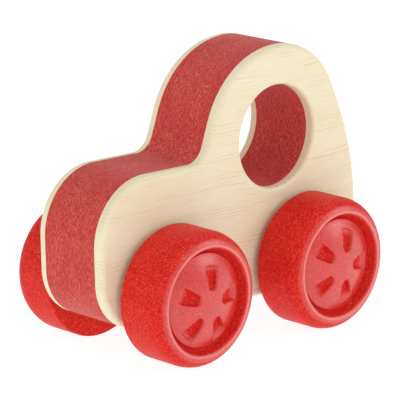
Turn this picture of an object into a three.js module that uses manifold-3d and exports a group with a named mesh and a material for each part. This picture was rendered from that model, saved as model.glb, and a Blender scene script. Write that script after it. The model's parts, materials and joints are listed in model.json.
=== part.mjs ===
// A small wooden pull-back car: a thick stained core between two pale side panels, four chunky wheels on
// steel axles, and a spring motor in a pocket over the rear axle, closed by a cover plate under the car.
// Millimetres. +X is the front, +Y the left side, +Z up. The origin is on the ground, midway along the body.
import * as THREE from "three";
import { mergeVertices } from "three/addons/utils/BufferGeometryUtils.js";
import Module from "manifold-3d";

const wasm = await Module();
wasm.setup();

// ---------- driving dimensions ----------

const CORE_HALF = 12.47; // half the thickness of the stained core
const BODY_HALF = 16.05; // half the thickness of the whole body
const GLUE_GAP = 0.02;
const PANEL_EDGE = 1.6; // chamfer round the outer edges of the panels

// The side outline of the body as a polygon whose corners are rounded: x, z, corner radius.
const UNDERSIDE_Z = 12.34;
const OUTLINE = [
  [62.62, UNDERSIDE_Z, 19.1], // under the nose
  [64.53, 65.94, 22.5], // front of the bonnet
  [14.94, 65.47, 7.6], // foot of the windscreen
  [3.32, 99.48, 33.9], // front of the roof
  [-40.76, 104.76, 29.8], // back of the roof
  [-63.67, 57.6, 103], // waist at the back
  [-63.7, UNDERSIDE_Z, 20], // under the tail
];
const OUTLINE_STEP = 10; // degrees of arc for each straight facet
const GRIP_HOLE = { x: -21.21, z: 69.71, r: 18.64, segments: 36 };

const WHEEL = {
  r: 24,
  inner: 18.43, // distance of the inner face from the mid-plane
  phase: { front_left: 97, rear_left: 109, front_right: 92, rear_right: 65 },
};
const AXLE = { r: 2, end: 32.8, front: 33.25, rear: -33.25, z: WHEEL.r };
const RUNNING_GAP = 0.06;
const PRESS_GAP = 0.04; // stands for a press fit between a bore and its rod
const ROUND = 16; // facets of the small round pieces
const FEW = 12; // facets of the smallest ones
const FAR = 200; // beyond the whole car, for cutting tools
const BUSH = { r: 3.2, flange: 4.8, bore: AXLE.r + RUNNING_GAP, depth: 7.2, thick: 0.9, clearance: 0.2 };
const WASHER = { r: 4.4, from: 17.2, to: 18.2 };

const POCKET = { x0: -40.2, x1: -1.7, half: 8.5, top: 41.6 };
const CASE = { x0: -39.7, x1: -2.2, z0: 15.4, z1: 41.1, half: 8, wall: 1.2, corner: 2.4 };
const COVER = { x0: -46.2, x1: 4.3, half: 9.5, z0: 12.8, z1: 15, gap: 0.3, corner: 3 };
const COVER_SCREW = { head: 2.2, shank: 1.1, top: 23.5, point: 2, x: [-43.2, 1.3], y: 5.5 };
const CROSS = { arm: 1.3, half: 0.25, deep: 0.7 }; // cross recess of the cover screws
const CASE_SCREW = { head: 1.6, shank: 0.9, under: 6.6, thick: 1.1, tip: -6, slot: 0.5 };
const SCREW_TIP = 0.2; // radius of a screw's blunt end

// ---------- gear train of the motor ----------

const MODULE_MM = 0.6;
const PRESSURE = THREE.MathUtils.degToRad(20);
const ADDENDUM = 0.7 * MODULE_MM; // stub teeth
const DEDENDUM = 1.25 * MODULE_MM;
const TOOTH_SHARE = 0.38; // of the pitch; the rest is the space, so the gears run with backlash
const CLUTCH_TOOTH_SHARE = 0.34; // slimmer still, so that the clutch gear slides into mesh from the side
const TEETH = { axle: 12, idlerWheel: 18, idlerPinion: 12, clutch: 12, spring: 32 };
const pitchRadius = (teeth) => (MODULE_MM * teeth) / 2;
const centres = (a, b) => pitchRadius(a) + pitchRadius(b);

// Walks from one centre to the next: distance and direction in degrees above +X.
const step = (from, distance, degrees) => ({
  x: from.x + distance * Math.cos(THREE.MathUtils.degToRad(degrees)),
  z: from.z + distance * Math.sin(THREE.MathUtils.degToRad(degrees)),
});
const TO_IDLER = 53;
const TO_CLUTCH = -76;
const TO_SPRING = 20;
const CLUTCH_TRAVEL = 1.6;
const CLUTCH_SLOT_ANGLE = (TO_CLUTCH + 180 + TO_SPRING) / 2; // midway between idler and spring gear
const axleCentre = { x: AXLE.rear, z: AXLE.z };
const idlerCentre = step(axleCentre, centres(TEETH.axle, TEETH.idlerWheel), TO_IDLER);
const clutchMeshed = step(idlerCentre, centres(TEETH.idlerPinion, TEETH.clutch), TO_CLUTCH);
const springCentre = step(clutchMeshed, centres(TEETH.clutch, TEETH.spring), TO_SPRING);
const clutchCentre = step(clutchMeshed, -CLUTCH_TRAVEL, CLUTCH_SLOT_ANGLE);

const WHEEL_LAYER = [-4.6, -1.6]; // y of the gears beside the mainspring
const PINION_LAYER = [0.8, 4.2]; // y of the gears beside them
const JOURNAL = { r: 1, end: 7.6 };
const HUB_PROUD = 0.8; // how far a gear's hub stands beyond its teeth
const IDLER_HUB = 2.4;
const CLUTCH_HUB = 2.2;
const SPRING = { strip: 0.35, turns: 5, inner: 2.3, outer: 6.9, y0: -6.3, y1: -1.8 };
const BARREL = { inner: 7.5, outer: 8.2, from: 1.4 }; // ring in the right case half, round the mainspring

// ---------- materials ----------

const matte = (color, roughness, metalness = 0) =>
  new THREE.MeshStandardMaterial({ color, roughness, metalness });
const PALE_WOOD = matte(0xf0dcb8, 0.6);
const STAINED_WOOD = matte(0xb83c3c, 0.7);
const WHEEL_RED = matte(0xd0201c, 0.45);
const STEEL = matte(0xb8babd, 0.3, 1);
const SPRING_STEEL = matte(0x8c929c, 0.35, 1);
const WHITE_PLASTIC = matte(0xe8e6df, 0.5);
const GREY_PLASTIC = matte(0x6e7076, 0.55);
const BRASS = matte(0xc9a24a, 0.35, 1);

// ---------- shape helpers ----------

// A closed geometry as a solid, with its shared vertices merged and its empty triangles dropped.
function solid(geometry) {
  const bare = new THREE.BufferGeometry();
  const source = geometry.index ? geometry.toNonIndexed() : geometry;
  bare.setAttribute("position", source.getAttribute("position"));
  const merged = mergeVertices(bare, 1e-4);
  const corners = merged.index.array;
  const kept = [];
  for (let i = 0; i < corners.length; i += 3) {
    const [a, b, c] = corners.subarray(i, i + 3);
    const isFlat = a === b || b === c || c === a;
    if (!isFlat) kept.push(a, b, c);
  }
  return new wasm.Manifold(
    new wasm.Mesh({
      numProp: 3,
      vertProperties: merged.attributes.position.array,
      triVerts: new Uint32Array(kept),
    }),
  );
}

function named(name, material, body) {
  const mesh = body.getMesh();
  const geometry = new THREE.BufferGeometry();
  geometry.setAttribute("position", new THREE.BufferAttribute(mesh.vertProperties, 3));
  geometry.setIndex(new THREE.BufferAttribute(mesh.triVerts, 1));
  geometry.computeVertexNormals();
  const made = new THREE.Mesh(geometry, material);
  made.name = name;
  return made;
}

const union = (first, ...others) => others.reduce((all, next) => all.add(next), first);
const cut = (body, ...tools) => tools.reduce((left, tool) => left.subtract(tool), body);

// A shape drawn in x and z, as thick as from y0 to y1.
function plate(shape, y0, y1, options = {}) {
  const depth = y1 - y0;
  const geometry = new THREE.ExtrudeGeometry(shape, { depth, bevelEnabled: false, ...options });
  return solid(geometry.rotateX(Math.PI / 2).translate(0, y1, 0));
}

// Points along an arc from one angle to another in radians, in steps of about stepDegrees.
function arc(x, z, r, from, to, stepDegrees) {
  const degrees = Math.abs(THREE.MathUtils.radToDeg(to - from));
  const steps = Math.max(1, Math.round(degrees / stepDegrees));
  return Array.from({ length: steps + 1 }, (_, i) => {
    const angle = from + ((to - from) * i) / steps;
    return new THREE.Vector2(x + r * Math.cos(angle), z + r * Math.sin(angle));
  });
}

function roundHole(x, z, r, segments) {
  const points = arc(x, z, r, 0, 2 * Math.PI, 360 / segments);
  return new THREE.Path(points.slice(0, -1));
}

function block(x0, x1, y0, y1, z0, z1) {
  const geometry = new THREE.BoxGeometry(x1 - x0, y1 - y0, z1 - z0);
  return solid(geometry.translate((x0 + x1) / 2, (y0 + y1) / 2, (z0 + z1) / 2));
}

// A round solid about an axis along Y through (x, z), from its closed half section of [radius, y] points.
function turned(section, x, z, segments = ROUND) {
  const points = section.map(([r, y]) => new THREE.Vector2(r, y));
  points.push(points[0]);
  return solid(new THREE.LatheGeometry(points, segments).translate(x, 0, z));
}

function rod(x, z, r, y0, y1, segments = ROUND) {
  const section = [
    [0, y0],
    [r, y0],
    [r, y1],
    [0, y1],
  ];
  return turned(section, x, z, segments);
}

// A rod whose flats, not its corners, lie at radius r, so the hole it cuts still clears a rod of radius r.
const drill = (x, z, r, y0, y1, segments = ROUND) =>
  rod(x, z, r / Math.cos(Math.PI / segments), y0, y1, segments);

const CORNER_STEP = 30; // degrees of arc for each facet of a small rounded corner

function roundedBox(x0, x1, z0, z1, r) {
  const quarter = Math.PI / 2;
  return new THREE.Shape([
    ...arc(x1 - r, z0 + r, r, -quarter, 0, CORNER_STEP),
    ...arc(x1 - r, z1 - r, r, 0, quarter, CORNER_STEP),
    ...arc(x0 + r, z1 - r, r, quarter, 2 * quarter, CORNER_STEP),
    ...arc(x0 + r, z0 + r, r, 2 * quarter, 3 * quarter, CORNER_STEP),
  ]);
}

// A body made on the left side of the car, or its mirror image on the right.
const onSide = (body, side) => (side > 0 ? body : body.mirror([0, 1, 0]));

// ---------- body ----------

// Draws the rounded polygon: each corner is an arc tangent to its two sides.
function bodyShape() {
  const points = OUTLINE.flatMap(([x, z, r], i) => {
    const corner = new THREE.Vector2(x, z);
    const before = OUTLINE.at(i - 1);
    const after = OUTLINE[(i + 1) % OUTLINE.length];
    const inward = new THREE.Vector2(before[0] - x, before[1] - z).normalize();
    const outward = new THREE.Vector2(after[0] - x, after[1] - z).normalize();
    const half = Math.acos(inward.dot(outward)) / 2;
    const middle = inward.clone().add(outward).normalize();
    const centre = corner.clone().addScaledVector(middle, r / Math.sin(half));
    const start = corner.clone().addScaledVector(inward, r / Math.tan(half));
    const end = corner.clone().addScaledVector(outward, r / Math.tan(half));
    const from = start.sub(centre);
    const to = end.sub(centre);
    const sweep = Math.atan2(from.cross(to), from.dot(to));
    return arc(centre.x, centre.y, r, from.angle(), from.angle() + sweep, OUTLINE_STEP);
  });
  return new THREE.Shape(points);
}

function bodySlab(y0, y1, options) {
  const shape = bodyShape();
  const bushHole = BUSH.r + BUSH.clearance;
  shape.holes.push(roundHole(GRIP_HOLE.x, GRIP_HOLE.z, GRIP_HOLE.r, GRIP_HOLE.segments));
  shape.holes.push(roundHole(AXLE.front, AXLE.z, bushHole, ROUND));
  shape.holes.push(roundHole(AXLE.rear, AXLE.z, bushHole, ROUND));
  return plate(shape, y0, y1, options);
}

function makeCore() {
  const below = -FAR;
  const pocket = block(POCKET.x0, POCKET.x1, -POCKET.half, POCKET.half, below, POCKET.top);
  const gap = COVER.gap;
  const recess = block(
    COVER.x0 - gap, COVER.x1 + gap, -COVER.half - gap, COVER.half + gap, below, COVER.z1 + gap,
  );
  const pilots = coverScrewPlaces().map(([x, y]) =>
    upright(x, y, COVER_SCREW.shank + 0.1, 0, COVER_SCREW.top + 0.5),
  );
  return cut(bodySlab(-CORE_HALF, CORE_HALF), pocket, recess, ...pilots);
}

// The outer edges are chamfered; the same chamfer on the inner side is trimmed off at the glue line.
function makePanel(side) {
  const hidden = 2 * PANEL_EDGE;
  const depth = BODY_HALF - CORE_HALF + hidden - PANEL_EDGE;
  const slab = bodySlab(0, depth, {
    bevelEnabled: true,
    bevelSize: PANEL_EDGE,
    bevelThickness: PANEL_EDGE,
    bevelOffset: -PANEL_EDGE,
    bevelSegments: 1,
  }).translate([0, BODY_HALF - PANEL_EDGE - depth, 0]);
  const inside = block(-FAR, FAR, -FAR, CORE_HALF + GLUE_GAP, -FAR, FAR);
  return onSide(slab.subtract(inside), side);
}

// ---------- wheels and axles ----------

// The half section of a wheel on the left side: flat inside, a rounded tread, a proud rim bead,
// a narrow valley and a domed disc.
const RIM = { crest: 37.4, shoulder: 6.4, inside: 18.4, drop: 0.5, innerEdge: 0.6 };
const VALLEY = { y: 33.6, outer: 17.3, inner: 16.4 };
const DOME = { top: 38, radius: 36, edge: 16.3, edgeDrop: 0.4, rings: [11, 5.5] };
const domeHeight = (r) => DOME.top - (r * r) / (2 * DOME.radius);

function wheelSection(tread) {
  const section = [
    [0, WHEEL.inner],
    [tread - RIM.innerEdge, WHEEL.inner],
    [tread, WHEEL.inner + RIM.innerEdge],
  ];
  for (const degrees of [0, 32, 62, 85]) {
    const a = THREE.MathUtils.degToRad(degrees);
    const r = tread - RIM.shoulder * (1 - Math.cos(a));
    section.push([r, RIM.crest - RIM.shoulder * (1 - Math.sin(a))]);
  }
  section.push([RIM.inside, RIM.crest - RIM.drop], [VALLEY.outer, VALLEY.y], [VALLEY.inner, VALLEY.y]);
  section.push([DOME.edge, domeHeight(DOME.edge) - DOME.edgeDrop]);
  section.push(...DOME.rings.map((r) => [r, domeHeight(r)]));
  section.push([0, DOME.top]);
  return section;
}

// One of the five petal-shaped recesses in the disc, pointing along +X from the wheel's centre.
const PETAL = { inner: 7.5, end: 2.1, outer: 13.9, halfAngle: 13.5, floor: 34.5, count: 5 };

function petalShape() {
  const half = THREE.MathUtils.degToRad(PETAL.halfAngle);
  return new THREE.Shape([
    ...arc(0, 0, PETAL.outer, -half, half, 10),
    ...arc(PETAL.inner, 0, PETAL.end, Math.PI / 2, 1.5 * Math.PI, 45),
  ]);
}

const WHEEL_SEGMENTS = 32;

function makeWheel(x, side, phase) {
  // The flats, not the corners, lie at the wheel's radius.
  const tread = WHEEL.r / Math.cos(Math.PI / WHEEL_SEGMENTS);
  const flatDown = 180 / WHEEL_SEGMENTS;
  let wheel = turned(wheelSection(tread), 0, 0, WHEEL_SEGMENTS).rotate([0, flatDown, 0]);
  for (let i = 0; i < PETAL.count; i++) {
    const petal = plate(petalShape(), PETAL.floor, DOME.top + 1);
    wheel = wheel.subtract(petal.rotate([0, -phase - (360 / PETAL.count) * i, 0]));
  }
  const bore = drill(0, 0, AXLE.r + PRESS_GAP, WHEEL.inner - 1, AXLE.end + 0.3);
  return onSide(wheel.subtract(bore), side).translate([x, 0, AXLE.z]);
}

function makeBush(x, side) {
  const start = BODY_HALF - BUSH.depth;
  const bore = BUSH.bore / Math.cos(Math.PI / ROUND);
  const section = [
    [bore, start],
    [BUSH.r, start],
    [BUSH.r, BODY_HALF + GLUE_GAP],
    [BUSH.flange, BODY_HALF + GLUE_GAP],
    [BUSH.flange, BODY_HALF + BUSH.thick],
    [bore, BODY_HALF + BUSH.thick],
  ];
  return onSide(turned(section, x, AXLE.z), side);
}

function makeWasher(x, side) {
  const bore = BUSH.bore / Math.cos(Math.PI / ROUND);
  const section = [
    [bore, WASHER.from],
    [WASHER.r, WASHER.from],
    [WASHER.r, WASHER.to],
    [bore, WASHER.to],
  ];
  return onSide(turned(section, x, AXLE.z), side);
}

// A plain steel rod with a small chamfer at each end.
function makeAxle(x) {
  const chamfer = 0.5;
  const section = [
    [0, -AXLE.end],
    [AXLE.r - chamfer, -AXLE.end],
    [AXLE.r, -AXLE.end + chamfer],
    [AXLE.r, AXLE.end - chamfer],
    [AXLE.r - chamfer, AXLE.end],
    [0, AXLE.end],
  ];
  return turned(section, x, AXLE.z);
}

// ---------- screws ----------

// A vertical round solid: like rod, but along Z through (x, y).
function upright(x, y, r, z0, z1) {
  const geometry = new THREE.CylinderGeometry(r, r, z1 - z0, FEW);
  return solid(geometry.rotateX(Math.PI / 2).translate(x, y, (z0 + z1) / 2));
}

const coverScrewPlaces = () =>
  COVER_SCREW.x.flatMap((x) => [COVER_SCREW.y, -COVER_SCREW.y].map((y) => [x, y]));

// A countersunk screw that points up, with a cross recess in its head.
function makeCoverScrew(x, y) {
  const { head, shank, top, point } = COVER_SCREW;
  const face = COVER.z0 + 0.1;
  const profile = [
    new THREE.Vector2(0, face),
    new THREE.Vector2(head, face),
    new THREE.Vector2(shank, face + head - shank),
    new THREE.Vector2(shank, top - point),
    new THREE.Vector2(SCREW_TIP, top),
    new THREE.Vector2(0, top),
  ];
  const screw = solid(new THREE.LatheGeometry(profile, FEW).rotateX(Math.PI / 2));
  const { arm, half, deep } = CROSS;
  const cross = [
    block(-arm, arm, -half, half, 0, face + deep),
    block(-half, half, -arm, arm, 0, face + deep),
  ];
  return cut(screw, ...cross).translate([x, y, 0]);
}

const caseScrewPlaces = [
  [-37.2, 38.3],
  [-37.2, 18],
  [-5.2, 38.3],
  [-5.2, 18],
];

function makeCaseScrew([x, z]) {
  const { head, shank, under, thick, tip, slot } = CASE_SCREW;
  const top = under + thick;
  const section = [
    [0, tip],
    [SCREW_TIP, tip],
    [shank, tip + 1],
    [shank, under],
    [head, under],
    [head, top],
    [0, top],
  ];
  const screw = turned(section, x, z, FEW);
  const slit = block(x - head, x + head, top - slot, top + slot, z - slot / 2, z + slot / 2);
  return screw.subtract(slit);
}

// ---------- motor cover ----------

function makeCover() {
  const { x0, x1, half, z0, z1, corner } = COVER;
  const outline = roundedBox(x0, x1, -half, half, corner);
  const flat = new THREE.ExtrudeGeometry(outline, { depth: z1 - z0, bevelEnabled: false });
  const small = COVER_SCREW.shank + 0.25;
  const wide = COVER_SCREW.head + 0.45;
  const depth = wide - small;
  const holes = coverScrewPlaces().flatMap(([x, y]) => {
    const sink = new THREE.CylinderGeometry(small, wide, depth, FEW).rotateX(Math.PI / 2);
    return [solid(sink.translate(x, y, z0 + depth / 2)), upright(x, y, small, 0, z1 + 1)];
  });
  return cut(solid(flat.translate(0, 0, z0)), ...holes);
}

// ---------- motor case ----------

function slotPath(from, to, r) {
  const across = Math.atan2(to.z - from.z, to.x - from.x) + Math.PI / 2;
  return new THREE.Path([
    ...arc(from.x, from.z, r, across, across + Math.PI, CORNER_STEP),
    ...arc(to.x, to.z, r, across + Math.PI, across + 2 * Math.PI, CORNER_STEP),
  ]);
}

// The case's side wall, with its shaft holes and the clutch pin's slot.
function caseFace() {
  const { x0, x1, z0, z1, corner } = CASE;
  const bearing = (JOURNAL.r + RUNNING_GAP) / Math.cos(Math.PI / ROUND);
  const face = roundedBox(x0, x1, z0, z1, corner);
  face.holes.push(roundHole(axleCentre.x, axleCentre.z, AXLE.r + 0.4, ROUND));
  face.holes.push(roundHole(idlerCentre.x, idlerCentre.z, bearing, ROUND));
  face.holes.push(roundHole(springCentre.x, springCentre.z, bearing, ROUND));
  face.holes.push(slotPath(clutchCentre, clutchMeshed, bearing));
  return face;
}

function caseRim() {
  const { x0, x1, z0, z1, wall, corner } = CASE;
  const rim = roundedBox(x0, x1, z0, z1, corner);
  rim.holes.push(roundedBox(x0 + wall, x1 - wall, z0 + wall, z1 - wall, corner - wall));
  return rim;
}

// Holes through one screw boss: clearance and head seat in the left half, a pilot in the right half.
function bossHoles([x, z], side) {
  const { head, shank, under, tip } = CASE_SCREW;
  if (side < 0) return [drill(x, z, shank + 0.05, -1, -tip + 0.4, FEW)];
  return [
    drill(x, z, shank + 0.1, -1, CASE.half, FEW),
    drill(x, z, head + 0.15, under - 0.1, CASE.half + 1, FEW),
  ];
}

// The ring that holds the mainspring, run into the side wall.
function barrelRing() {
  const { inner, outer, from } = BARREL;
  const to = CASE.half - CASE.wall / 2;
  const section = [
    [inner, from],
    [outer, from],
    [outer, to],
    [inner, to],
  ];
  return turned(section, springCentre.x, springCentre.z, 28);
}

// Half of the motor's case, open towards the mid-plane. The right half also holds the mainspring.
function makeCase(side) {
  const { half, wall, corner } = CASE;
  const walls = [plate(caseFace(), half - wall, half), plate(caseRim(), GLUE_GAP, half - wall / 2)];
  const bosses = caseScrewPlaces.map(([x, z]) => rod(x, z, corner, GLUE_GAP, half, FEW));
  const rings = side < 0 ? [barrelRing()] : [];
  const shell = union(...walls, ...bosses, ...rings);
  return onSide(cut(shell, ...caseScrewPlaces.flatMap((place) => bossHoles(place, side))), side);
}

// ---------- gears ----------

const involute = (angle) => Math.tan(angle) - angle;

// Half the angle that a tooth covers at radius r, on an involute above the base circle.
function toothHalfAngle(teeth, share, r) {
  const pitch = pitchRadius(teeth);
  const base = pitch * Math.cos(PRESSURE);
  const here = r > base ? involute(Math.acos(base / r)) : 0;
  return (Math.PI * share) / teeth + involute(PRESSURE) - here;
}

const around = (centre, r, angle) =>
  new THREE.Vector2(centre.x + r * Math.cos(angle), centre.z + r * Math.sin(angle));

// A spur gear with one tooth pointing at the angle toothAt, in degrees above +X.
function gear(centre, teeth, toothAt, [y0, y1], share = TOOTH_SHARE) {
  const pitch = pitchRadius(teeth);
  const up = [pitch - DEDENDUM, pitch, pitch + ADDENDUM];
  const down = [...up].reverse();
  const start = THREE.MathUtils.degToRad(toothAt);
  const points = [];
  for (let i = 0; i < teeth; i++) {
    const middle = start + (2 * Math.PI * i) / teeth;
    const flank = (side) => (r) => around(centre, r, middle + side * toothHalfAngle(teeth, share, r));
    points.push(...up.map(flank(-1)), ...down.map(flank(1)));
  }
  return plate(new THREE.Shape(points), y0, y1);
}

// Where a gear needs a tooth to fit a space of its neighbour, one of whose teeth points at neighbourTooth.
// Both angles are in degrees, and direction points from the neighbour's centre to this one's.
function meshingTooth(neighbourTeeth, neighbourTooth, teeth, direction) {
  const pitchesOff = ((direction - neighbourTooth) * neighbourTeeth) / 360;
  return direction + 180 + ((pitchesOff + 0.5) * 360) / teeth;
}

const axleTooth = TO_IDLER;
const idlerTooth = meshingTooth(TEETH.axle, axleTooth, TEETH.idlerWheel, TO_IDLER);
const pinionTooth = idlerTooth;
// The clutch gear enters both meshes at a slant, so its teeth end up a little off the middle of the spaces.
const CLUTCH_LEAN = -2;
const SPRING_LEAN = 0.8;
const clutchTooth =
  meshingTooth(TEETH.idlerPinion, pinionTooth, TEETH.clutch, TO_CLUTCH) + CLUTCH_LEAN;
const springTooth = meshingTooth(TEETH.clutch, clutchTooth, TEETH.spring, TO_SPRING) + SPRING_LEAN;

function makeAxlePinion() {
  const body = gear(axleCentre, TEETH.axle, axleTooth, WHEEL_LAYER);
  return body.subtract(drill(axleCentre.x, axleCentre.z, AXLE.r + PRESS_GAP, -FAR, FAR));
}

// The idler and the spring gear are moulded with their journals.
function makeIdler() {
  const { x, z } = idlerCentre;
  return union(
    gear(idlerCentre, TEETH.idlerWheel, idlerTooth, WHEEL_LAYER),
    gear(idlerCentre, TEETH.idlerPinion, pinionTooth, PINION_LAYER),
    rod(x, z, IDLER_HUB, WHEEL_LAYER[0] - HUB_PROUD, PINION_LAYER[1] + HUB_PROUD),
    rod(x, z, JOURNAL.r, -JOURNAL.end, JOURNAL.end),
  );
}

function makeSpringGear() {
  const { x, z } = springCentre;
  return union(
    gear(springCentre, TEETH.spring, springTooth, PINION_LAYER),
    rod(x, z, SPRING.inner - 0.5, SPRING.y0 - 0.2, PINION_LAYER[1] + HUB_PROUD),
    rod(x, z, JOURNAL.r, -JOURNAL.end, JOURNAL.end),
  );
}

// The mainspring at rest: a flat strip wound about the arbor, its outer end at the barrel.
function makeMainspring() {
  const { strip, turns, inner, outer, y0, y1 } = SPRING;
  const steps = 14 * turns;
  const side = (offset) =>
    Array.from({ length: steps + 1 }, (_, i) => {
      const r = inner + ((outer - inner) * i) / steps + offset;
      return around(springCentre, r, (2 * Math.PI * turns * i) / steps);
    });
  return plate(new THREE.Shape([...side(strip), ...side(0).reverse()]), y0, y1);
}

function makeClutchGear() {
  const { x, z } = clutchCentre;
  const body = gear(clutchCentre, TEETH.clutch, clutchTooth, PINION_LAYER, CLUTCH_TOOTH_SHARE);
  const hub = rod(x, z, CLUTCH_HUB, PINION_LAYER[0] - HUB_PROUD, PINION_LAYER[1] + HUB_PROUD);
  const bore = drill(x, z, JOURNAL.r + RUNNING_GAP, -FAR, FAR);
  return body.add(hub).subtract(bore);
}

function makeClutchPin() {
  const { x, z } = clutchCentre;
  return rod(x, z, JOURNAL.r, -JOURNAL.end, JOURNAL.end);
}

// ---------- assembly ----------

const car = new THREE.Group();

const bodywork = new THREE.Group();
bodywork.add(named("body_core", STAINED_WOOD, makeCore()));
bodywork.add(named("side_panel_left", PALE_WOOD, makePanel(1)));
bodywork.add(named("side_panel_right", PALE_WOOD, makePanel(-1)));
bodywork.add(named("motor_cover_plate", GREY_PLASTIC, makeCover()));
coverScrewPlaces().forEach(([x, y], i) =>
  bodywork.add(named(`cover_screw_${i + 1}`, STEEL, makeCoverScrew(x, y))),
);
car.add(bodywork);

const ENDS = { front: AXLE.front, rear: AXLE.rear };
const SIDES = { left: 1, right: -1 };
for (const [end, x] of Object.entries(ENDS)) {
  const running = new THREE.Group();
  running.add(named(`${end}_axle`, STEEL, makeAxle(x)));
  for (const [hand, side] of Object.entries(SIDES)) {
    const phase = WHEEL.phase[`${end}_${hand}`];
    running.add(named(`${end}_wheel_${hand}`, WHEEL_RED, makeWheel(x, side, phase)));
    running.add(named(`${end}_washer_${hand}`, WHITE_PLASTIC, makeWasher(x, side)));
    running.add(named(`${end}_bush_${hand}`, WHITE_PLASTIC, makeBush(x, side)));
  }
  car.add(running);
}

const motor = new THREE.Group();
motor.add(named("motor_case_left", GREY_PLASTIC, makeCase(1)));
motor.add(named("motor_case_right", GREY_PLASTIC, makeCase(-1)));
caseScrewPlaces.forEach((place, i) =>
  motor.add(named(`case_screw_${i + 1}`, STEEL, makeCaseScrew(place))),
);
motor.add(named("axle_pinion", BRASS, makeAxlePinion()));
motor.add(named("idler_gear", WHITE_PLASTIC, makeIdler()));
motor.add(named("clutch_gear", WHITE_PLASTIC, makeClutchGear()));
motor.add(named("clutch_pin", STEEL, makeClutchPin()));
motor.add(named("spring_gear", WHITE_PLASTIC, makeSpringGear()));
motor.add(named("mainspring", SPRING_STEEL, makeMainspring()));
car.add(motor);

export default car;
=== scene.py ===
"""The looks of a small wooden pull-back car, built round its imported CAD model.

Shapes are worked out in millimetres in the model's own frame, +X the front, +Y the car's left and +Z up,
and become metres when a piece is made. Each fine piece stands for the plain CAD node of the same name.
"""

import json
import math

import bmesh
import bpy
import numpy as np
from mathutils import Matrix, Vector


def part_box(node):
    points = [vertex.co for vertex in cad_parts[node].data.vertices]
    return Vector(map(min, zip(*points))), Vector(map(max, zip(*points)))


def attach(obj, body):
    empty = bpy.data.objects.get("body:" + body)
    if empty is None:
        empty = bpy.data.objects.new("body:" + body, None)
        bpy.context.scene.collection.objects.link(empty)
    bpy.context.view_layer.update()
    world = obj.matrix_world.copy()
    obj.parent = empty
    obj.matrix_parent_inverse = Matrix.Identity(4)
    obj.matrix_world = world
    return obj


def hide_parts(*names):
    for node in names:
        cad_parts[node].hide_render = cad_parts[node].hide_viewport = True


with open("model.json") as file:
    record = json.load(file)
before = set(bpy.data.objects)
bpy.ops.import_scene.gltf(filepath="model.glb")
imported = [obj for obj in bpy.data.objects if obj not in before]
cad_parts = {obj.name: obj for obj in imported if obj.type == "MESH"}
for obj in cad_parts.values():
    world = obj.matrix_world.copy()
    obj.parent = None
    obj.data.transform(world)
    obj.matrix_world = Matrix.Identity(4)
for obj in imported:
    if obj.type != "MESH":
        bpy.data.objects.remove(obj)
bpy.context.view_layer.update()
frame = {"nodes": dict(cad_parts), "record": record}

MM = 0.001
SCENE = bpy.context.scene
RECORD = frame["record"]
BODY_OF = {node: body for body, nodes in RECORD["behaviour"]["bodies"].items() for node in nodes}
SLOT_OF = {part["node"]: part["material_slot"] for part in RECORD["subparts"]}


def box_mm(node):
    """The lowest and highest corners of a CAD node at rest, in millimetres."""
    return [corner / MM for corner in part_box(node)]


def box_middle(node):
    low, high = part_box(node)
    return (low + high) / 2 / MM


def toward(azimuth, elevation):
    """Unit vector towards a direction in degrees: azimuth 90 is the car's front, 180 its left."""
    a, e = math.radians(azimuth), math.radians(elevation)
    return Vector((math.sin(a) * math.cos(e), -math.cos(a) * math.cos(e), math.sin(e)))


# ---------- camera ----------

VIEW = {  # angles in degrees, target, distance and lens in mm, shift in shares of the frame
    "azimuth": 135.04,
    "elevation": 14.30,
    "roll": 0.36,
    "target": (-5.314, 0.0, 45.0),
    "distance": 956.84,
    "lens": 241.1,
    "shift": (-0.0332, 0.0086),
}
SENSOR_WIDTH = 36.0
CLIP = (0.05, 50.0)  # metres


def make_camera():
    back = toward(VIEW["azimuth"], VIEW["elevation"])
    right = (-back).cross(Vector((0, 0, 1))).normalized()
    turn = Matrix.Rotation(-math.radians(VIEW["roll"]), 3, -back)
    right = turn @ right
    up = back.cross(right)
    data = bpy.data.cameras.new("camera")
    data.lens = VIEW["lens"]
    data.sensor_width = SENSOR_WIDTH
    data.shift_x, data.shift_y = VIEW["shift"]
    data.clip_start, data.clip_end = CLIP
    camera = bpy.data.objects.new("camera", data)
    SCENE.collection.objects.link(camera)
    place = Vector(VIEW["target"]) * MM + back * VIEW["distance"] * MM
    axes = Matrix((right, up, back)).transposed().to_4x4()
    camera.matrix_world = Matrix.Translation(place) @ axes
    SCENE.camera = camera


make_camera()


# ---------- outlines and profiles ----------

# The side outline of the body as a polygon whose corners are rounded: x, z, corner radius.
UNDERSIDE_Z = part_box("body_core")[0].z / MM
OUTLINE = [
    (62.62, UNDERSIDE_Z, 19.1),  # under the nose
    (64.53, 65.94, 22.5),  # front of the bonnet
    (14.94, 65.47, 7.6),  # foot of the windscreen
    (3.32, 99.48, 33.9),  # front of the roof
    (-40.76, 104.76, 29.8),  # back of the roof
    (-63.67, 57.6, 103.0),  # waist at the back
    (-63.7, UNDERSIDE_Z, 20.0),  # under the tail
]
GRIP_HOLE = {"x": -21.21, "z": 69.71, "r": 18.64}
ARC_STEP = 2.5  # degrees between the points of an arc
FEWEST_STEPS = 3  # of the shortest arc
RUN_STEP = 4.0  # most distance between the points of a straight run


def unit(v):
    return v / np.linalg.norm(v)


def arc(x, z, radius, start, end, steps):
    """Points along an arc between two angles in degrees. A pair of radii makes it elliptical."""
    wide, high = radius if isinstance(radius, tuple) else (radius, radius)
    angles = np.radians(np.linspace(start, end, steps + 1))
    return np.column_stack([x + wide * np.cos(angles), z + high * np.sin(angles)])


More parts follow.
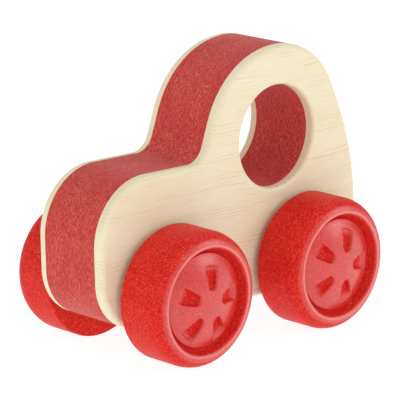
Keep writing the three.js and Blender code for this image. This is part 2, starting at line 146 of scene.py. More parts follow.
def rounded_corner(before, corner, after, radius):
    """Points and outward normals round one corner of an anticlockwise polygon."""
    inward, outward = unit(before - corner), unit(after - corner)
    half = math.acos(float(inward @ outward)) / 2
    centre = corner + unit(inward + outward) * radius / math.sin(half)
    start = unit(corner + inward * radius / math.tan(half) - centre)
    end = unit(corner + outward * radius / math.tan(half) - centre)
    turn = start[0] * end[1] - start[1] * end[0]
    sweep = math.atan2(turn, float(start @ end))
    steps = max(FEWEST_STEPS, round(abs(math.degrees(sweep)) / ARC_STEP))
    angles = math.atan2(start[1], start[0]) + np.linspace(0, sweep, steps + 1)
    directions = np.column_stack([np.cos(angles), np.sin(angles)])
    return centre + radius * directions, directions * (1 if turn > 0 else -1)


def rounded_polygon(corners):
    """Points and outward normals round a closed anticlockwise polygon with rounded corners."""
    places = [np.array(corner[:2]) for corner in corners]
    count = len(corners)
    turns = [
        rounded_corner(places[i - 1], places[i], places[(i + 1) % count], corners[i][2])
        for i in range(count)
    ]
    points, normals = [], []
    for i, (turn_points, turn_normals) in enumerate(turns):
        following = turns[(i + 1) % count][0][0]
        run = following - turn_points[-1]
        pieces = max(1, math.ceil(np.linalg.norm(run) / RUN_STEP))
        inner = [turn_points[-1] + run * k / pieces for k in range(1, pieces)]
        points += [*turn_points, *inner]
        normals += [*turn_normals, *[turn_normals[-1]] * len(inner)]
    return np.array(points), np.array(normals)


def circle_wall(x, z, radius, segments):
    """Points round a hole, with normals that point out of the material, to the hole's middle."""
    points = arc(x, z, radius, 0, 360, segments)[:-1]
    return points, (np.array([x, z]) - points) / radius


def edge_round(rounding, y, side):
    """Profile of a rounded edge: inset and y, from the wall to the flat face at y."""
    radius = rounding["radius"]
    turn = arc(radius, y - side * radius, radius, 180, 90, rounding["steps"])
    if side < 0:
        turn[:, 1] = 2 * (y - side * radius) - turn[:, 1]
    return [tuple(p) for p in turn] + [(radius + SUPPORT, y)]


# ---------- making pieces ----------

def make_piece(node, mesh, smooth_angle=32):
    """A piece that stands for a CAD node, and takes its body and its material slot from the record."""
    mesh.shade_smooth()
    mesh.set_sharp_from_angle(angle=math.radians(smooth_angle))
    mesh.materials.clear()
    mesh.materials.append(MATERIALS[SLOT_OF[node]])
    piece = bpy.data.objects.new(node + "_fine", mesh)
    SCENE.collection.objects.link(piece)
    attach(piece, BODY_OF[node])
    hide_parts(node)


def mesh_from_bmesh(name, bm):
    bmesh.ops.recalc_face_normals(bm, faces=bm.faces)
    bmesh.ops.scale(bm, vec=(MM, MM, MM), verts=bm.verts)
    mesh = bpy.data.meshes.new(name)
    bm.to_mesh(mesh)
    bm.free()
    return mesh


def slab(name, walls):
    """A flat piece square to Y. Each wall is (points, normals, profile).

    A profile is a list of (inset, y) pairs, from one flat face to the other."""
    bm = bmesh.new()
    ends = ([], [])
    for points, normals, profile in walls:
        rows = []
        for inset, y in profile:
            at = points - inset * normals
            rows.append([bm.verts.new((x, y, z)) for x, z in at])
        count = len(points)
        for low, high in zip(rows, rows[1:]):
            for i in range(count):
                j = (i + 1) % count
                bm.faces.new((low[i], low[j], high[j], high[i]))
        for end, row in zip(ends, (rows[0], rows[-1])):
            end += [bm.edges.get((row[i], row[(i + 1) % count])) for i in range(count)]
    for edges in ends:
        bmesh.ops.triangle_fill(bm, use_beauty=True, edges=edges)
    return mesh_from_bmesh(name, bm)


ON_AXIS = 1e-6  # a radius below this counts as on the axis, in mm


def revolve(name, profile, segments, centre, lift=None, closed=False):
    """A round piece about an axis along Y through centre (x, z), from a profile of (r, y) pairs.

    An open profile starts and ends on the axis. lift(index, x, z) may add to y, given a ring's place in the
    profile and its points as measured from the axis."""
    bm = bmesh.new()
    angles = np.linspace(0, 2 * math.pi, segments, endpoint=False)
    rings = []
    for index, (r, y) in enumerate(profile):
        on_axis = r < ON_AXIS
        spread = angles[:1] if on_axis else angles
        x, z = r * np.cos(spread), r * np.sin(spread)
        height = np.full(len(spread), y) + (lift(index, x, z) if lift else 0.0)
        rings.append([bm.verts.new(p) for p in zip(x + centre[0], height, z + centre[1])])
    pairs = list(zip(rings, rings[1:])) + ([(rings[-1], rings[0])] if closed else [])
    for low, high in pairs:
        for i in range(segments):
            j = (i + 1) % segments
            corners = [low[i % len(low)], low[j % len(low)], high[j % len(high)], high[i % len(high)]]
            bm.faces.new(list(dict.fromkeys(corners)))
    return mesh_from_bmesh(name, bm)


def block(x0, x1, y0, y1, z0, z1):
    """A cutting tool: a plain box in millimetres."""
    bm = bmesh.new()
    bmesh.ops.create_cube(bm, size=1.0)
    for v in bm.verts:
        v.co = Vector((x1 if v.co.x > 0 else x0, y1 if v.co.y > 0 else y0, z1 if v.co.z > 0 else z0))
    return mesh_from_bmesh("tool", bm)


def upright_rod(x, y, r, z0, z1):
    """A cutting tool: a rod along Z."""
    bm = bmesh.new()
    bmesh.ops.create_cone(
        bm, cap_ends=True, segments=PILOT_SEGMENTS, radius1=r, radius2=r, depth=z1 - z0,
        matrix=Matrix.Translation((x, y, (z0 + z1) / 2)),
    )
    return mesh_from_bmesh("tool", bm)


def cut(mesh, tools):
    """The mesh with each tool cut out of it."""
    work = bpy.data.objects.new("work", mesh)
    SCENE.collection.objects.link(work)
    others = []
    for tool in tools:
        other = bpy.data.objects.new("tool", tool)
        SCENE.collection.objects.link(other)
        modifier = work.modifiers.new("cut", "BOOLEAN")
        modifier.operation = "DIFFERENCE"
        modifier.solver = "EXACT"
        modifier.object = other
        others.append(other)
    graph = bpy.context.evaluated_depsgraph_get()
    made = bpy.data.meshes.new_from_object(work.evaluated_get(graph))
    for used in [work, *others]:
        bpy.data.objects.remove(used)
    return made


# ---------- materials ----------

def srgb(red, green, blue):
    """A colour given as it looks on a screen, 0 to 255, as the linear colour that a shader takes."""
    def linear(c):
        c /= 255
        return c / 12.92 if c <= 0.04045 else ((c + 0.055) / 1.055) ** 2.4
    return (linear(red), linear(green), linear(blue), 1.0)


class Surface:
    """A Principled material and a short way to wire procedural nodes into it."""

    def __init__(self, name, **values):
        self.material = bpy.data.materials.new(name)
        self.material.use_nodes = True
        self.tree = self.material.node_tree
        self.shader = self.tree.nodes["Principled BSDF"]
        for socket, value in values.items():
            self.wire(self.shader.inputs[socket.replace("_", " ")], value)

    def wire(self, socket, value):
        if isinstance(value, bpy.types.NodeSocket):
            self.tree.links.new(value, socket)
        else:
            socket.default_value = value

    def add(self, kind, inputs=(), **settings):
        node = self.tree.nodes.new(kind)
        for key, value in settings.items():
            setattr(node, key, value)
        for key, value in dict(inputs).items():
            self.wire(node.inputs[key], value)
        return node

    def place(self):
        """Millimetres in the piece's own frame."""
        source = self.add("ShaderNodeTexCoord").outputs["Object"]
        return self.stretch(source, (MM, MM, MM))

    def attribute(self, name):
        """A vector that the mesh gives at each face corner."""
        return self.add("ShaderNodeAttribute", attribute_name=name).outputs["Vector"]

    def share(self, name):
        """A number from 0 to 1 that the mesh gives at each point."""
        return self.add("ShaderNodeAttribute", attribute_name=name).outputs["Fac"]

    def stretch(self, place, sizes):
        """The place measured in units of the given sizes."""
        scale = tuple(1 / size for size in sizes)
        return self.add("ShaderNodeMapping", {"Vector": place, "Scale": scale}).outputs["Vector"]

    def noise(self, place, sizes, detail=2.0, roughness=0.5):
        """Noise from 0 to 1 whose lumps are about as large as the sizes."""
        inputs = {
            "Vector": self.stretch(place, sizes), "Scale": 1.0, "Detail": detail, "Roughness": roughness,
        }
        return self.add("ShaderNodeTexNoise", inputs).outputs[0]

    def math(self, operation, a, b=0.0):
        return self.add("ShaderNodeMath", {0: a, 1: b}, operation=operation).outputs[0]

    def between(self, value, low, high):
        """0 below low, 1 above high, and a smooth step in between. Low above high turns it round."""
        flip = low > high
        inputs = {"Value": value, "From Min": min(low, high), "From Max": max(low, high)}
        inputs.update({"To Min": 1.0 if flip else 0.0, "To Max": 0.0 if flip else 1.0})
        return self.add("ShaderNodeMapRange", inputs, interpolation_type="SMOOTHSTEP").outputs["Result"]

    def blend(self, share, first, second):
        """A colour between two colours."""
        node = self.add("ShaderNodeMix", data_type="RGBA", blend_type="MIX")
        self.wire(node.inputs[0], share)
        self.wire(node.inputs[6], first)
        self.wire(node.inputs[7], second)
        return node.outputs[2]

    def ranged(self, value, low, high):
        """A number between low and high, from one between 0 and 1."""
        inputs = {"Value": value, "To Min": low, "To Max": high}
        return self.add("ShaderNodeMapRange", inputs).outputs["Result"]

    def colour(self, value):
        self.wire(self.shader.inputs["Base Color"], value)

    def rough(self, value):
        self.wire(self.shader.inputs["Roughness"], value)

    def bump(self, height, depth):
        """Bump whose height of 0 to 1 stands for a depth in millimetres."""
        node = self.add("ShaderNodeBump", {"Height": height, "Strength": 1.0, "Distance": depth * MM})
        self.wire(self.shader.inputs["Normal"], node.outputs["Normal"])


LINE_SPACING = 1.25  # mm of height from one growth line of the pale wood to the next
LINE_LEAN = 9.0  # mm of thickness in which the lines climb by one spacing


def pale_wood():
    """Sanded pale wood with its grain along X: faint broken growth lines, fine fibres and small flecks."""
    cream, straw = srgb(242, 236, 204), srgb(240, 228, 192)
    fibre_tan, line_tan, fleck_tan = srgb(224, 194, 152), srgb(212, 180, 138), srgb(214, 170, 128)
    s = Surface("pale_wood", Specular_IOR_Level=0.35, Coat_Weight=0.06, Coat_Roughness=0.45)
    place = s.place()
    axes = s.add("ShaderNodeSeparateXYZ", {0: place})
    drift = s.math("MULTIPLY", s.noise(place, (90, 26, 26), detail=1.0), 8.0)
    spacing = s.math("MULTIPLY", s.noise(place, (400, 16, 16), detail=1.0), 6.0)
    across = s.math("ADD", s.math("DIVIDE", axes.outputs["Z"], LINE_SPACING), drift)
    across = s.math("ADD", across, spacing)
    across = s.math("ADD", across, s.math("DIVIDE", axes.outputs["Y"], LINE_LEAN))
    ring = s.math("FRACT", across)
    line = s.math("MULTIPLY", s.between(ring, 0.55, 0.9), s.between(ring, 0.99, 0.92))
    broken = s.between(s.noise(place, (18, 2.1, 2.1), detail=3.0), 0.47, 0.65)
    line = s.math("MULTIPLY", line, broken)
    fibre = s.noise(place, (9, 0.7, 0.7), detail=3.0, roughness=0.6)
    fleck = s.between(s.noise(place, (2.6, 0.28, 0.28), detail=1.0), 0.66, 0.78)
    cloud = s.noise(place, (60, 18, 18), detail=2.0)
    colour = s.blend(s.between(cloud, 0.35, 0.7), cream, straw)
    colour = s.blend(s.ranged(s.between(fibre, 0.3, 0.7), 0.02, 0.18), colour, fibre_tan)
    colour = s.blend(s.math("MULTIPLY", line, 0.46), colour, line_tan)
    colour = s.blend(s.math("MULTIPLY", fleck, 0.3), colour, fleck_tan)
    s.colour(colour)
    s.rough(s.ranged(fibre, 0.5, 0.66))
    s.bump(fibre, 0.03)
    return s.material


def stained_core():
    """Red-stained fibrous wood. Its streaks follow the outline, which the mesh's grain_coord gives in mm."""
    red, bright_red, deep_red = srgb(184, 38, 38), srgb(220, 80, 66), srgb(186, 34, 36)
    pale_thread, dark_thread = srgb(238, 142, 118), srgb(150, 20, 26)
    s = Surface("stained_core", Specular_IOR_Level=0.25, Sheen_Weight=0.1, Sheen_Roughness=0.5)
    place = s.attribute("grain_coord")
    streak = s.noise(place, (2.2, 0.75, 2.0), detail=3.0, roughness=0.65)
    thread = s.noise(place, (0.95, 0.45, 0.9), detail=2.0, roughness=0.6)
    cloud = s.noise(place, (16, 7, 7), detail=2.0)
    colour = s.blend(s.between(streak, 0.36, 0.64), red, bright_red)
    colour = s.blend(s.ranged(s.between(thread, 0.53, 0.68), 0.0, 0.6), colour, pale_thread)
    colour = s.blend(s.ranged(s.between(thread, 0.44, 0.3), 0.0, 0.6), colour, dark_thread)
    colour = s.blend(s.ranged(s.between(cloud, 0.4, 0.65), 0.0, 0.35), colour, deep_red)
    s.colour(colour)
    s.rough(s.ranged(streak, 0.55, 0.75))
    s.bump(s.math("ADD", thread, streak), 0.05)
    return s.material


def wheel_composite():
    """Moulded red wood-fibre composite: fine orange and pale specks in a mottled, satin red.

    The mesh says how polished each point is, and where a pale highlight is painted along the bead's crest."""
    crimson, scarlet, warm_red = srgb(202, 12, 20), srgb(226, 38, 28), srgb(230, 60, 36)
    # The third colour on the next line is the pale pink of a painted highlight along the bead's crest.
    pale_grit, orange_speck, highlight_pink = srgb(240, 112, 84), srgb(246, 140, 86), srgb(250, 160, 142)
    s = Surface("wheel_composite", Specular_IOR_Level=0.12, Coat_Roughness=0.3, Coat_IOR=1.8)
    place = s.place()
    cloud = s.noise(place, (7, 7, 7), detail=2.0)
    mottle = s.noise(place, (0.9, 0.9, 0.9), detail=3.0, roughness=0.6)
    grit = s.noise(place, (0.55, 0.55, 0.55), detail=3.0, roughness=0.75)
    cells = s.add("ShaderNodeTexVoronoi", {"Vector": s.stretch(place, (0.7, 0.7, 0.7)), "Scale": 1.0})
    lot = s.add("ShaderNodeSeparateColor", {0: cells.outputs["Color"]}).outputs[0]  # one number a cell
    near = s.between(cells.outputs["Distance"], 0.44, 0.2)
    speck = s.math("MULTIPLY", near, s.between(lot, 0.8, 0.9))
    # Painted highlight: the crest share, broken up by grit, blends pale pink into the colour along the bead's
    # crest.
    crest_highlight = s.math("MULTIPLY", s.share("crest"), s.ranged(grit, 0.3, 0.75))
    colour = s.blend(s.between(mottle, 0.38, 0.62), crimson, scarlet)
    colour = s.blend(s.ranged(s.between(cloud, 0.4, 0.65), 0.0, 0.15), colour, warm_red)
    colour = s.blend(s.ranged(s.between(grit, 0.52, 0.66), 0.0, 0.5), colour, pale_grit)
    colour = s.blend(s.math("MULTIPLY", speck, 0.4), colour, orange_speck)
    colour = s.blend(crest_highlight, colour, highlight_pink)
    s.colour(colour)
    s.rough(s.ranged(mottle, 0.4, 0.56))
    worn = s.ranged(s.between(grit, 0.6, 0.4), 0.65, 1.0)
    s.wire(s.shader.inputs["Coat Weight"], s.math("MULTIPLY", s.share("polish"), worn))
    s.bump(s.math("ADD", grit, mottle), 0.045)
    return s.material


def brushed_metal(name, first, second, roughness):
    """Turned or drawn metal: fine rings round the Y axis, of slightly different roughness."""
    s = Surface(name, Metallic=1.0)
    place = s.place()
    rings = s.noise(place, (2.0, 0.08, 2.0), detail=2.0)
    cloud = s.noise(place, (3, 3, 3), detail=2.0)
    s.colour(s.blend(s.between(cloud, 0.35, 0.7), first, second))
    s.rough(s.ranged(rings, roughness - 0.08, roughness + 0.1))
    s.bump(rings, 0.004)
    return s.material


def moulded_plastic(name, first, second, roughness):
    """Moulded plastic with a fine eroded texture and a faint flow pattern."""
    s = Surface(name, Specular_IOR_Level=0.45)
    place = s.place()
    grain = s.noise(place, (0.25, 0.25, 0.25), detail=2.0)
    flow = s.noise(place, (9, 9, 4), detail=2.0)
    s.colour(s.blend(s.between(flow, 0.35, 0.7), first, second))
    s.rough(s.ranged(grain, roughness - 0.08, roughness + 0.08))
    s.bump(grain, 0.012)
    return s.material


MATERIALS = {
    "pale_wood": pale_wood(),
    "stained_core": stained_core(),
    "wheel_composite": wheel_composite(),
    "steel": brushed_metal("steel", srgb(196, 198, 202), srgb(176, 178, 184), 0.3),
    "spring_steel": brushed_metal("spring_steel", srgb(116, 124, 142), srgb(92, 96, 112), 0.34),
    "brass": brushed_metal("brass", srgb(214, 176, 96), srgb(190, 150, 76), 0.3),
    "white_plastic": moulded_plastic("white_plastic", srgb(236, 234, 224), srgb(226, 223, 210), 0.5),
    "grey_plastic": moulded_plastic("grey_plastic", srgb(108, 110, 116), srgb(101, 103, 109), 0.55),
}


# ---------- body ----------

PANEL_ROUND = {"radius": 2.0, "steps": 8}
HOLE_ROUND = {"radius": 1.3, "steps": 6}
SUPPORT = 0.25  # flat strip beside a rounded edge, which keeps the shading of the face flat
GLUE_STRIP = 0.8  # straight strip of a panel's wall beside the glue line
AXLE_HOLE = 3.4
GRIP_SEGMENTS = 144
AXLE_HOLE_SEGMENTS = 48
PILOT_SEGMENTS = 48
CORE_LEVELS = 9  # rows of points across the core's thickness
HOLE_MARGIN = 1.0  # how far outside the grip hole a point still counts as on its wall
AXLES = [(middle.x, middle.z) for middle in map(box_middle, ("front_axle", "rear_axle"))]


def body_walls(outer, grip, plain):
    """Walls of a body layer: its outline, the grip hole and the two axle holes, with their profiles."""
    walls = [(*rounded_polygon(OUTLINE), outer)]
    walls.append((*circle_wall(GRIP_HOLE["x"], GRIP_HOLE["z"], GRIP_HOLE["r"], GRIP_SEGMENTS), grip))
    walls += [(*circle_wall(x, z, AXLE_HOLE, AXLE_HOLE_SEGMENTS), plain) for x, z in AXLES]
    return walls


def make_panel(node, side):
    """A side panel with its outer edges rounded. side is 1 on the left and -1 on the right."""
    glue, face = sorted((corner.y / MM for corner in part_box(node)), key=abs)
    start = [(0.0, glue), (0.0, glue + side * GLUE_STRIP)]
    outer = start + edge_round(PANEL_ROUND, face, side)
    grip = start + edge_round(HOLE_ROUND, face, side)
    mesh = slab(node, body_walls(outer, grip, [(0.0, glue), (0.0, face)]))
    make_piece(node, mesh)


def grain_coordinates(mesh):
    """Gives each face corner the distance along the outline, or round the grip hole, then y, then depth."""
    points, _ = rounded_polygon(OUTLINE)
    points = np.roll(points, len(points) // 40, axis=0)  # starts the distance on the flat underside
    loop = np.vstack([points, points[:1]])
    along = np.concatenate([[0], np.cumsum(np.linalg.norm(np.diff(loop, axis=0), axis=1))])
    whole = along[-1]
    co = np.array([v.co for v in mesh.vertices]) / MM
    gap = np.linalg.norm(co[:, None, [0, 2]] - loop[None, :-1], axis=2)
    nearest = gap.argmin(axis=1)
    from_hole = co[:, [0, 2]] - np.array([GRIP_HOLE["x"], GRIP_HOLE["z"]])
    radius = np.linalg.norm(from_hole, axis=1)
    in_hole = radius < GRIP_HOLE["r"] + HOLE_MARGIN
    angle = np.arctan2(from_hole[:, 1], from_hole[:, 0])
    start = np.where(in_hole, angle * GRIP_HOLE["r"] + 2 * whole, along[nearest])
    period = np.where(in_hole, 2 * math.pi * GRIP_HOLE["r"], whole)
    depth = np.where(in_hole, radius - GRIP_HOLE["r"], gap.min(axis=1))
    layer = mesh.attributes.new("grain_coord", "FLOAT_VECTOR", "CORNER")
    for face in mesh.polygons:
        corners = list(face.loop_indices)
        verts = [mesh.loops[c].vertex_index for c in corners]
        first = start[verts[0]]
        for corner, vert in zip(corners, verts):
            turns = round((start[vert] - first) / period[vert])
            distance = start[vert] - turns * period[vert]
            layer.data[corner].vector = (distance, co[vert, 1], depth[vert])


POCKET = {"top": 41.6, "half": 8.5, "gap": 0.5}  # the motor's, open from below
RECESS_GAP = 0.3  # round the cover plate
PILOT = {"r": 1.2, "bottom": 1, "top": 24.0}  # holes of the cover's screws
SCREW_NODES = [f"cover_screw_{i}" for i in range(1, 5)]


def make_core():
    """The stained core, with the motor's pocket, the cover's recess and the pilot holes cut from below."""
    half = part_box("body_core")[1].y / MM
    levels = [(0.0, y) for y in np.linspace(-half, half, CORE_LEVELS)]
    mesh = slab("body_core", body_walls(levels, levels, levels))
    cover_low, cover_high = box_mm("motor_cover_plate")
    case_low, case_high = box_mm("motor_case_left")
    tools = [
        block(
            case_low.x - POCKET["gap"], case_high.x + POCKET["gap"],
            -POCKET["half"], POCKET["half"], 0, POCKET["top"],
        ),
        block(
            cover_low.x - RECESS_GAP, cover_high.x + RECESS_GAP,
            cover_low.y - RECESS_GAP, cover_high.y + RECESS_GAP, 0, cover_high.z + RECESS_GAP,
        ),
    ]
    for node in SCREW_NODES:
        middle = box_middle(node)
        tools.append(upright_rod(middle.x, middle.y, PILOT["r"], PILOT["bottom"], PILOT["top"]))
    mesh = cut(mesh, tools)
    grain_coordinates(mesh)
    make_piece("body_core", mesh)


# ---------- wheels ----------

# Half section of a wheel: a domed disc, a narrow valley, a proud rim bead and a rounded tread.
# "from" and "to" are the angles in degrees at which an arc starts and ends.
DOME = {"top": 38.0, "radius": 36.0, "edge": 15.8}
DISC_ROLL = {"round": 1.2, "from": 70, "to": 12, "steps": 8}
VALLEY = {"y": 33.4, "outer": 17.7, "round": 0.5, "from": -105, "to": -20, "steps": 6}
BEAD = {"crest": 19.5, "y": 37.0, "round": 1.1, "from": 176, "to": 74, "steps": 8}
SLOPE_STEPS = 8  # of the curve from the bead down to the shoulder
SHOULDER = {"middle": (19.6, 30.8), "wide": 4.4, "high": 6.2, "from": 52, "to": 0, "steps": 14}
TREAD_RINGS = 6
INNER_ROUND = {"radius": 0.5, "steps": 4}
FACE_RINGS = (18.0, 12.0, 6.0)  # radii of the rings of points on the inner face
BORE = {"r": 2.04, "end": 33.1}  # the blind hole for the axle
WHEEL_SEGMENTS = 300
DISC_RINGS = 62

# Each of the petal-shaped recesses in the disc, pointing along +X from the wheel's middle. "inner" is the
# middle of its round inner end, and "end" that end's radius.
PETAL = {"inner": 7.5, "end": 2.1, "outer": 13.9, "half_angle": 13.5, "floor": 34.5, "count": 5}
PETAL_WALL = 0.7  # how far inside the petal's edge its sloped wall ends
PETAL_LIP = 0.25  # how far outside the edge the wall starts
PETAL_CORNER = 0.3  # softness of the two outer corners
PETAL_RAMP = {"rise": 1.4, "start": 5.4, "end": 10.5}  # the floor slopes up to the inner tip
# The direction of each wheel's first petal, in degrees, and where its petals' middle is, in mm.
PHASE = {"front_left": 97, "rear_left": 109, "front_right": 92, "rear_right": 65}
PETAL_SHIFT = {"front_left": (-0.5, -1.5), "rear_left": (-0.2, -0.5)}


def dome_height(r):
    return DOME["top"] - r * r / (2 * DOME["radius"])


def soft_max(values, softness):
    """The largest of several arrays, rounded off where two are close."""
    stack = np.stack(values) / softness
    top = stack.max(axis=0)
    return softness * (top + np.log(np.exp(stack - top).sum(axis=0)))


def petal_distance(u, v):
    """Distance outside one petal's edge, negative inside it, for points measured along and across it."""
    half = math.radians(PETAL["half_angle"])
    tip = np.array([math.cos(half), math.sin(half)]) * PETAL["outer"]
    start = np.array([PETAL["inner"], PETAL["end"]])
    run = unit(tip - start)
    side = (np.abs(v) - start[1]) * run[0] - (u - start[0]) * run[1]
    wedge = soft_max([side, np.hypot(u, v) - PETAL["outer"]], PETAL_CORNER)
    cap = np.hypot(u - PETAL["inner"], v) - PETAL["end"]
    return np.where(u < PETAL["inner"], cap, wedge)


def smooth_step(share):
    share = np.clip(share, 0, 1)
    return share * share * (3 - 2 * share)


def petal_depth(phase, x, z):
    """How far the disc is pressed in at points about the middle of the petals."""
    depth = np.zeros_like(x)
    for i in range(PETAL["count"]):
        a = math.radians(phase + i * 360 / PETAL["count"])
        u, v = x * math.cos(a) + z * math.sin(a), z * math.cos(a) - x * math.sin(a)
        inside = smooth_step((PETAL_LIP - petal_distance(u, v)) / (PETAL_LIP + PETAL_WALL))
        climb = smooth_step((PETAL_RAMP["end"] - u) / (PETAL_RAMP["end"] - PETAL_RAMP["start"]))
        floor = PETAL["floor"] + PETAL_RAMP["rise"] * climb
        depth = np.maximum(depth, inside * (dome_height(np.hypot(x, z)) - floor))
    return depth


def bend(start, end, leans, steps):
    """Points of a curve from start to end that leaves and arrives at the two given slopes."""
    run = (end[1] - start[1] - leans[1] * (end[0] - start[0])) / (leans[0] - leans[1])
    corner = start + run * np.array([1.0, leans[0]])
    t = np.linspace(0, 1, steps + 1)[:, None]
    return (1 - t) ** 2 * start + 2 * t * (1 - t) * corner + t ** 2 * end


def section_arc(r, y, rounding):
    """An arc of the wheel's section about (r, y), with the radius, angles and steps of the rounding."""
    return arc(r, y, rounding["round"], rounding["from"], rounding["to"], rounding["steps"])


def wheel_profile(radius, inner_face):
    """The half section as (r, y), from the middle of the disc round to the bottom of the axle's bore."""
    disc = [(r, dome_height(r)) for r in np.linspace(0, DOME["edge"], DISC_RINGS)]
    roll = section_arc(DOME["edge"], dome_height(DOME["edge"]) - DISC_ROLL["round"], DISC_ROLL)
    wall = section_arc(VALLEY["outer"] - VALLEY["round"], VALLEY["y"] + VALLEY["round"], VALLEY)
    bead = section_arc(BEAD["crest"], BEAD["y"] - BEAD["round"], BEAD)
    wide, high = SHOULDER["wide"], SHOULDER["high"]
    shoulder = arc(*SHOULDER["middle"], (wide, high), SHOULDER["from"], SHOULDER["to"], SHOULDER["steps"])
    leans = [
        math.tan(math.radians(BEAD["to"] - 90)),
        -high / wide / math.tan(math.radians(SHOULDER["from"])),
    ]
    slope = bend(bead[-1], shoulder[0], leans, SLOPE_STEPS)
    round_ = INNER_ROUND["radius"]
    tread = [(radius, y) for y in np.linspace(SHOULDER["middle"][1], inner_face + round_, TREAD_RINGS)]
    inner = arc(radius - round_, inner_face + round_, round_, 0, -90, INNER_ROUND["steps"])
    face = [(r, inner_face) for r in (*FACE_RINGS, BORE["r"])]
    bore = [(BORE["r"], (inner_face + BORE["end"]) / 2), (BORE["r"], BORE["end"]), (0.0, BORE["end"])]
    parts = [disc, roll, wall, bead, slope[1:-1], shoulder, tread[1:], inner[1:], face, bore]
    return [tuple(p) for part in parts for p in part]


# Where a wheel is polished, and where a highlight is painted on its bead's crest: a pair is a place in mm and
# the width over which the mask comes or goes there.
PRESSED_DEPTH = (0.5, 0.5)
PRESSED_END = (13.4, 2.2)
VALLEY_START, VALLEY_END = (16.6, 0.3), (19.0, 0.5)
TREAD_START = (20.4, 1.8)
CREST_HIGHLIGHT_HALF = (0.476, 0.34)
CREST_HIGHLIGHT_LOWEST = 36.3  # distance from the mid-plane above which a highlight is painted on the crest


def beyond(value, start, fade):
    """0 up to start, then smoothly up to 1."""
    return smooth_step((value - start) / fade)


def short_of(value, end, fade):
    """1 well short of end, then smoothly down to 0 there."""
    return smooth_step((end - value) / fade)


def mark_polish(mesh, middle, phase, off_x, off_z):
    """Gives each point its share of polish, on the disc and the bead, and its share of the painted highlight
    on the bead's crest.
    """
    co = np.array([v.co for v in mesh.vertices]) / MM
    x, z = co[:, 0] - middle.x, co[:, 2] - middle.z
    r = np.hypot(x, z)
    pressed = beyond(petal_depth(phase, x - off_x, z - off_z), *PRESSED_DEPTH)
    pressed *= short_of(np.hypot(x - off_x, z - off_z), *PRESSED_END)
    valley = beyond(r, *VALLEY_START) * short_of(r, *VALLEY_END)
    polish = (1 - pressed) * (1 - beyond(r, *TREAD_START)) * (1 - valley)
    # Painted highlight: a thin band round the crest's radius, only where the bead stands furthest out.
    crest = short_of(np.abs(r - BEAD["crest"]), *CREST_HIGHLIGHT_HALF) * (np.abs(co[:, 1]) > CREST_HIGHLIGHT_LOWEST)
    for name, share in (("polish", polish), ("crest", crest)):
        layer = mesh.attributes.new(name, "FLOAT", "POINT")
        layer.data.foreach_set("value", share.astype(np.float32))


def make_wheel(end, hand, side):
    """One wheel, made as a left one and mirrored for the right."""
    node = f"{end}_wheel_{hand}"
    low, high = box_mm(node)
    inner_face = min(abs(low.y), abs(high.y))
    profile = wheel_profile((high.z - low.z) / 2, inner_face)
    phase = PHASE[f"{end}_{hand}"]
    off_x, off_z = PETAL_SHIFT.get(f"{end}_{hand}", (0.0, 0.0))

    def press(index, x, z):
        return -petal_depth(phase, x - off_x, z - off_z) if index < DISC_RINGS else 0.0

    middle = (low + high) / 2
    mesh = revolve(node, profile, WHEEL_SEGMENTS, (middle.x, middle.z), lift=press)
    if side < 0:
        mesh.transform(Matrix.Scale(-1, 4, (0, 1, 0)))
        mesh.flip_normals()
    mark_polish(mesh, middle, phase, off_x, off_z)
    make_piece(node, mesh, smooth_angle=50)


# ---------- axles, bushes and washers ----------

SMALL_SEGMENTS = 72
EDGE_STEPS = 4  # round an edge of a bush or a washer
BORE_RADIUS = 2.06  # of the bushes and the washers
WASHER_ROUND = 0.2
AXLE_CHAMFER = 0.5
AXLE_RINGS = 9
# A bush's sleeve is chamfered at its inner end, and its flange covers the hole's rim on the panel.
BUSH = {"sleeve": 3.2, "lead": 0.3, "lead_length": 0.5, "flange_gap": 0.02, "round": 0.25, "chamfer": 0.2}


def ring_profile(bore, outer, y0, y1, round_):
    """Closed section of a ring with its outer edges rounded."""
    return [
        (bore, y0), *arc(outer - round_, y0 + round_, round_, -90, 0, EDGE_STEPS),
        *arc(outer - round_, y1 - round_, round_, 0, 90, EDGE_STEPS), (bore, y1),
    ]


def make_ring(node, centre, sign, profile):
    """A plastic ring from its section as (r, distance from the mid-plane), the sign being -1 on the right."""
    mesh = revolve(node, [(r, sign * y) for r, y in profile], SMALL_SEGMENTS, centre, closed=True)
    make_piece(node, mesh)


def make_washer(node, centre, sign):
    low, high = box_mm(node)
    near, far = sorted((abs(low.y), abs(high.y)))
    make_ring(node, centre, sign, ring_profile(BORE_RADIUS, (high.z - low.z) / 2, near, far, WASHER_ROUND))


def make_bush(node, centre, sign):
    low, high = box_mm(node)
    near, far = sorted((abs(low.y), abs(high.y)))
    flange = (high.z - low.z) / 2
    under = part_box("side_panel_left")[1].y / MM + BUSH["flange_gap"]
    sleeve, round_ = BUSH["sleeve"], BUSH["round"]
    rim = arc(flange - round_, far - round_, round_, 0, 90, EDGE_STEPS)
    make_ring(node, centre, sign, [
        (BORE_RADIUS, near), (sleeve - BUSH["lead"], near), (sleeve, near + BUSH["lead_length"]),
        (sleeve, under), (flange, under), *rim,
        (BORE_RADIUS + BUSH["chamfer"], far), (BORE_RADIUS, far - BUSH["chamfer"]),
    ])


def make_axle(node, centre):
    low, high = box_mm(node)
    end, radius = high.y, (high.z - low.z) / 2
    tip = radius - AXLE_CHAMFER
    rod = [(radius, y) for y in np.linspace(-end + AXLE_CHAMFER, end - AXLE_CHAMFER, AXLE_RINGS)]
    profile = [(0, -end), (tip, -end), *rod, (tip, end), (0, end)]
    mesh = revolve(node, profile, SMALL_SEGMENTS, centre)
    make_piece(node, mesh)


# ---------- studio ----------

WHITE = (1.0, 1.0, 1.0, 1.0)
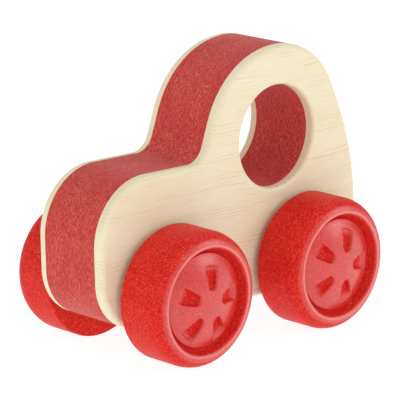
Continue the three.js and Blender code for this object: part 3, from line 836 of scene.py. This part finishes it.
# half is half the floor's side in metres, and the glow keeps it white, with hardly a shadow on it.
FLOOR = {"half": 30.0, "shade": 0.28, "glow": 0.9}
AMBIENT = 0.57
AIM_HEIGHT = 0.045  # where the softboxes point, in metres above the floor
SOFTBOX_DISTANCE = 1.6
SOFTBOXES = {  # azimuth, elevation, size in metres, watts
    "softbox_front": (84, 24, 1.0, 3.85),
    "softbox_near": (132, 26, 0.9, 1.8),
    "softbox_side": (194, 42, 0.6, 2.6),
    "softbox_low": (226, 20, 0.6, 3.2),
    "softbox_back": (285, 50, 0.5, 2.2),
}


def make_floor():
    s = Surface("floor", Roughness=0.9, Specular_IOR_Level=0.0, Emission_Strength=FLOOR["glow"])
    s.wire(s.shader.inputs["Emission Color"], WHITE)
    s.colour((FLOOR["shade"], FLOOR["shade"], FLOOR["shade"], 1.0))
    mesh = bpy.data.meshes.new("floor")
    half = FLOOR["half"]
    corners = [(-half, -half, 0), (half, -half, 0), (half, half, 0), (-half, half, 0)]
    mesh.from_pydata(corners, [], [(0, 1, 2, 3)])
    mesh.materials.append(s.material)
    floor = bpy.data.objects.new("floor", mesh)
    SCENE.collection.objects.link(floor)


def make_softbox(name, azimuth, elevation, size, watts):
    """A square area light that faces the car."""
    away = toward(azimuth, elevation)
    data = bpy.data.lights.new(name, "AREA")
    data.shape = "SQUARE"
    data.size = size
    data.energy = watts
    light = bpy.data.objects.new(name, data)
    light.location = away * SOFTBOX_DISTANCE + Vector((0, 0, AIM_HEIGHT))
    light.rotation_euler = away.to_track_quat("Z", "Y").to_euler()
    SCENE.collection.objects.link(light)


def make_studio():
    make_floor()
    world = bpy.data.worlds.new("studio")
    world.use_nodes = True
    background = world.node_tree.nodes["Background"]
    background.inputs["Color"].default_value = WHITE
    background.inputs["Strength"].default_value = AMBIENT
    SCENE.world = world
    for name, place in SOFTBOXES.items():
        make_softbox(name, *place)
    SCENE.view_settings.view_transform = "Standard"


# ---------- assembly ----------

make_core()
make_panel("side_panel_left", 1)
make_panel("side_panel_right", -1)
for end, centre in zip(("front", "rear"), AXLES):
    make_axle(f"{end}_axle", centre)
    for hand, sign in (("left", 1), ("right", -1)):
        make_wheel(end, hand, sign)
        make_washer(f"{end}_washer_{hand}", centre, sign)
        make_bush(f"{end}_bush_{hand}", centre, sign)

for name, node in frame["nodes"].items():
    node.data.materials.clear()
    node.data.materials.append(MATERIALS[SLOT_OF[name]])

make_studio()
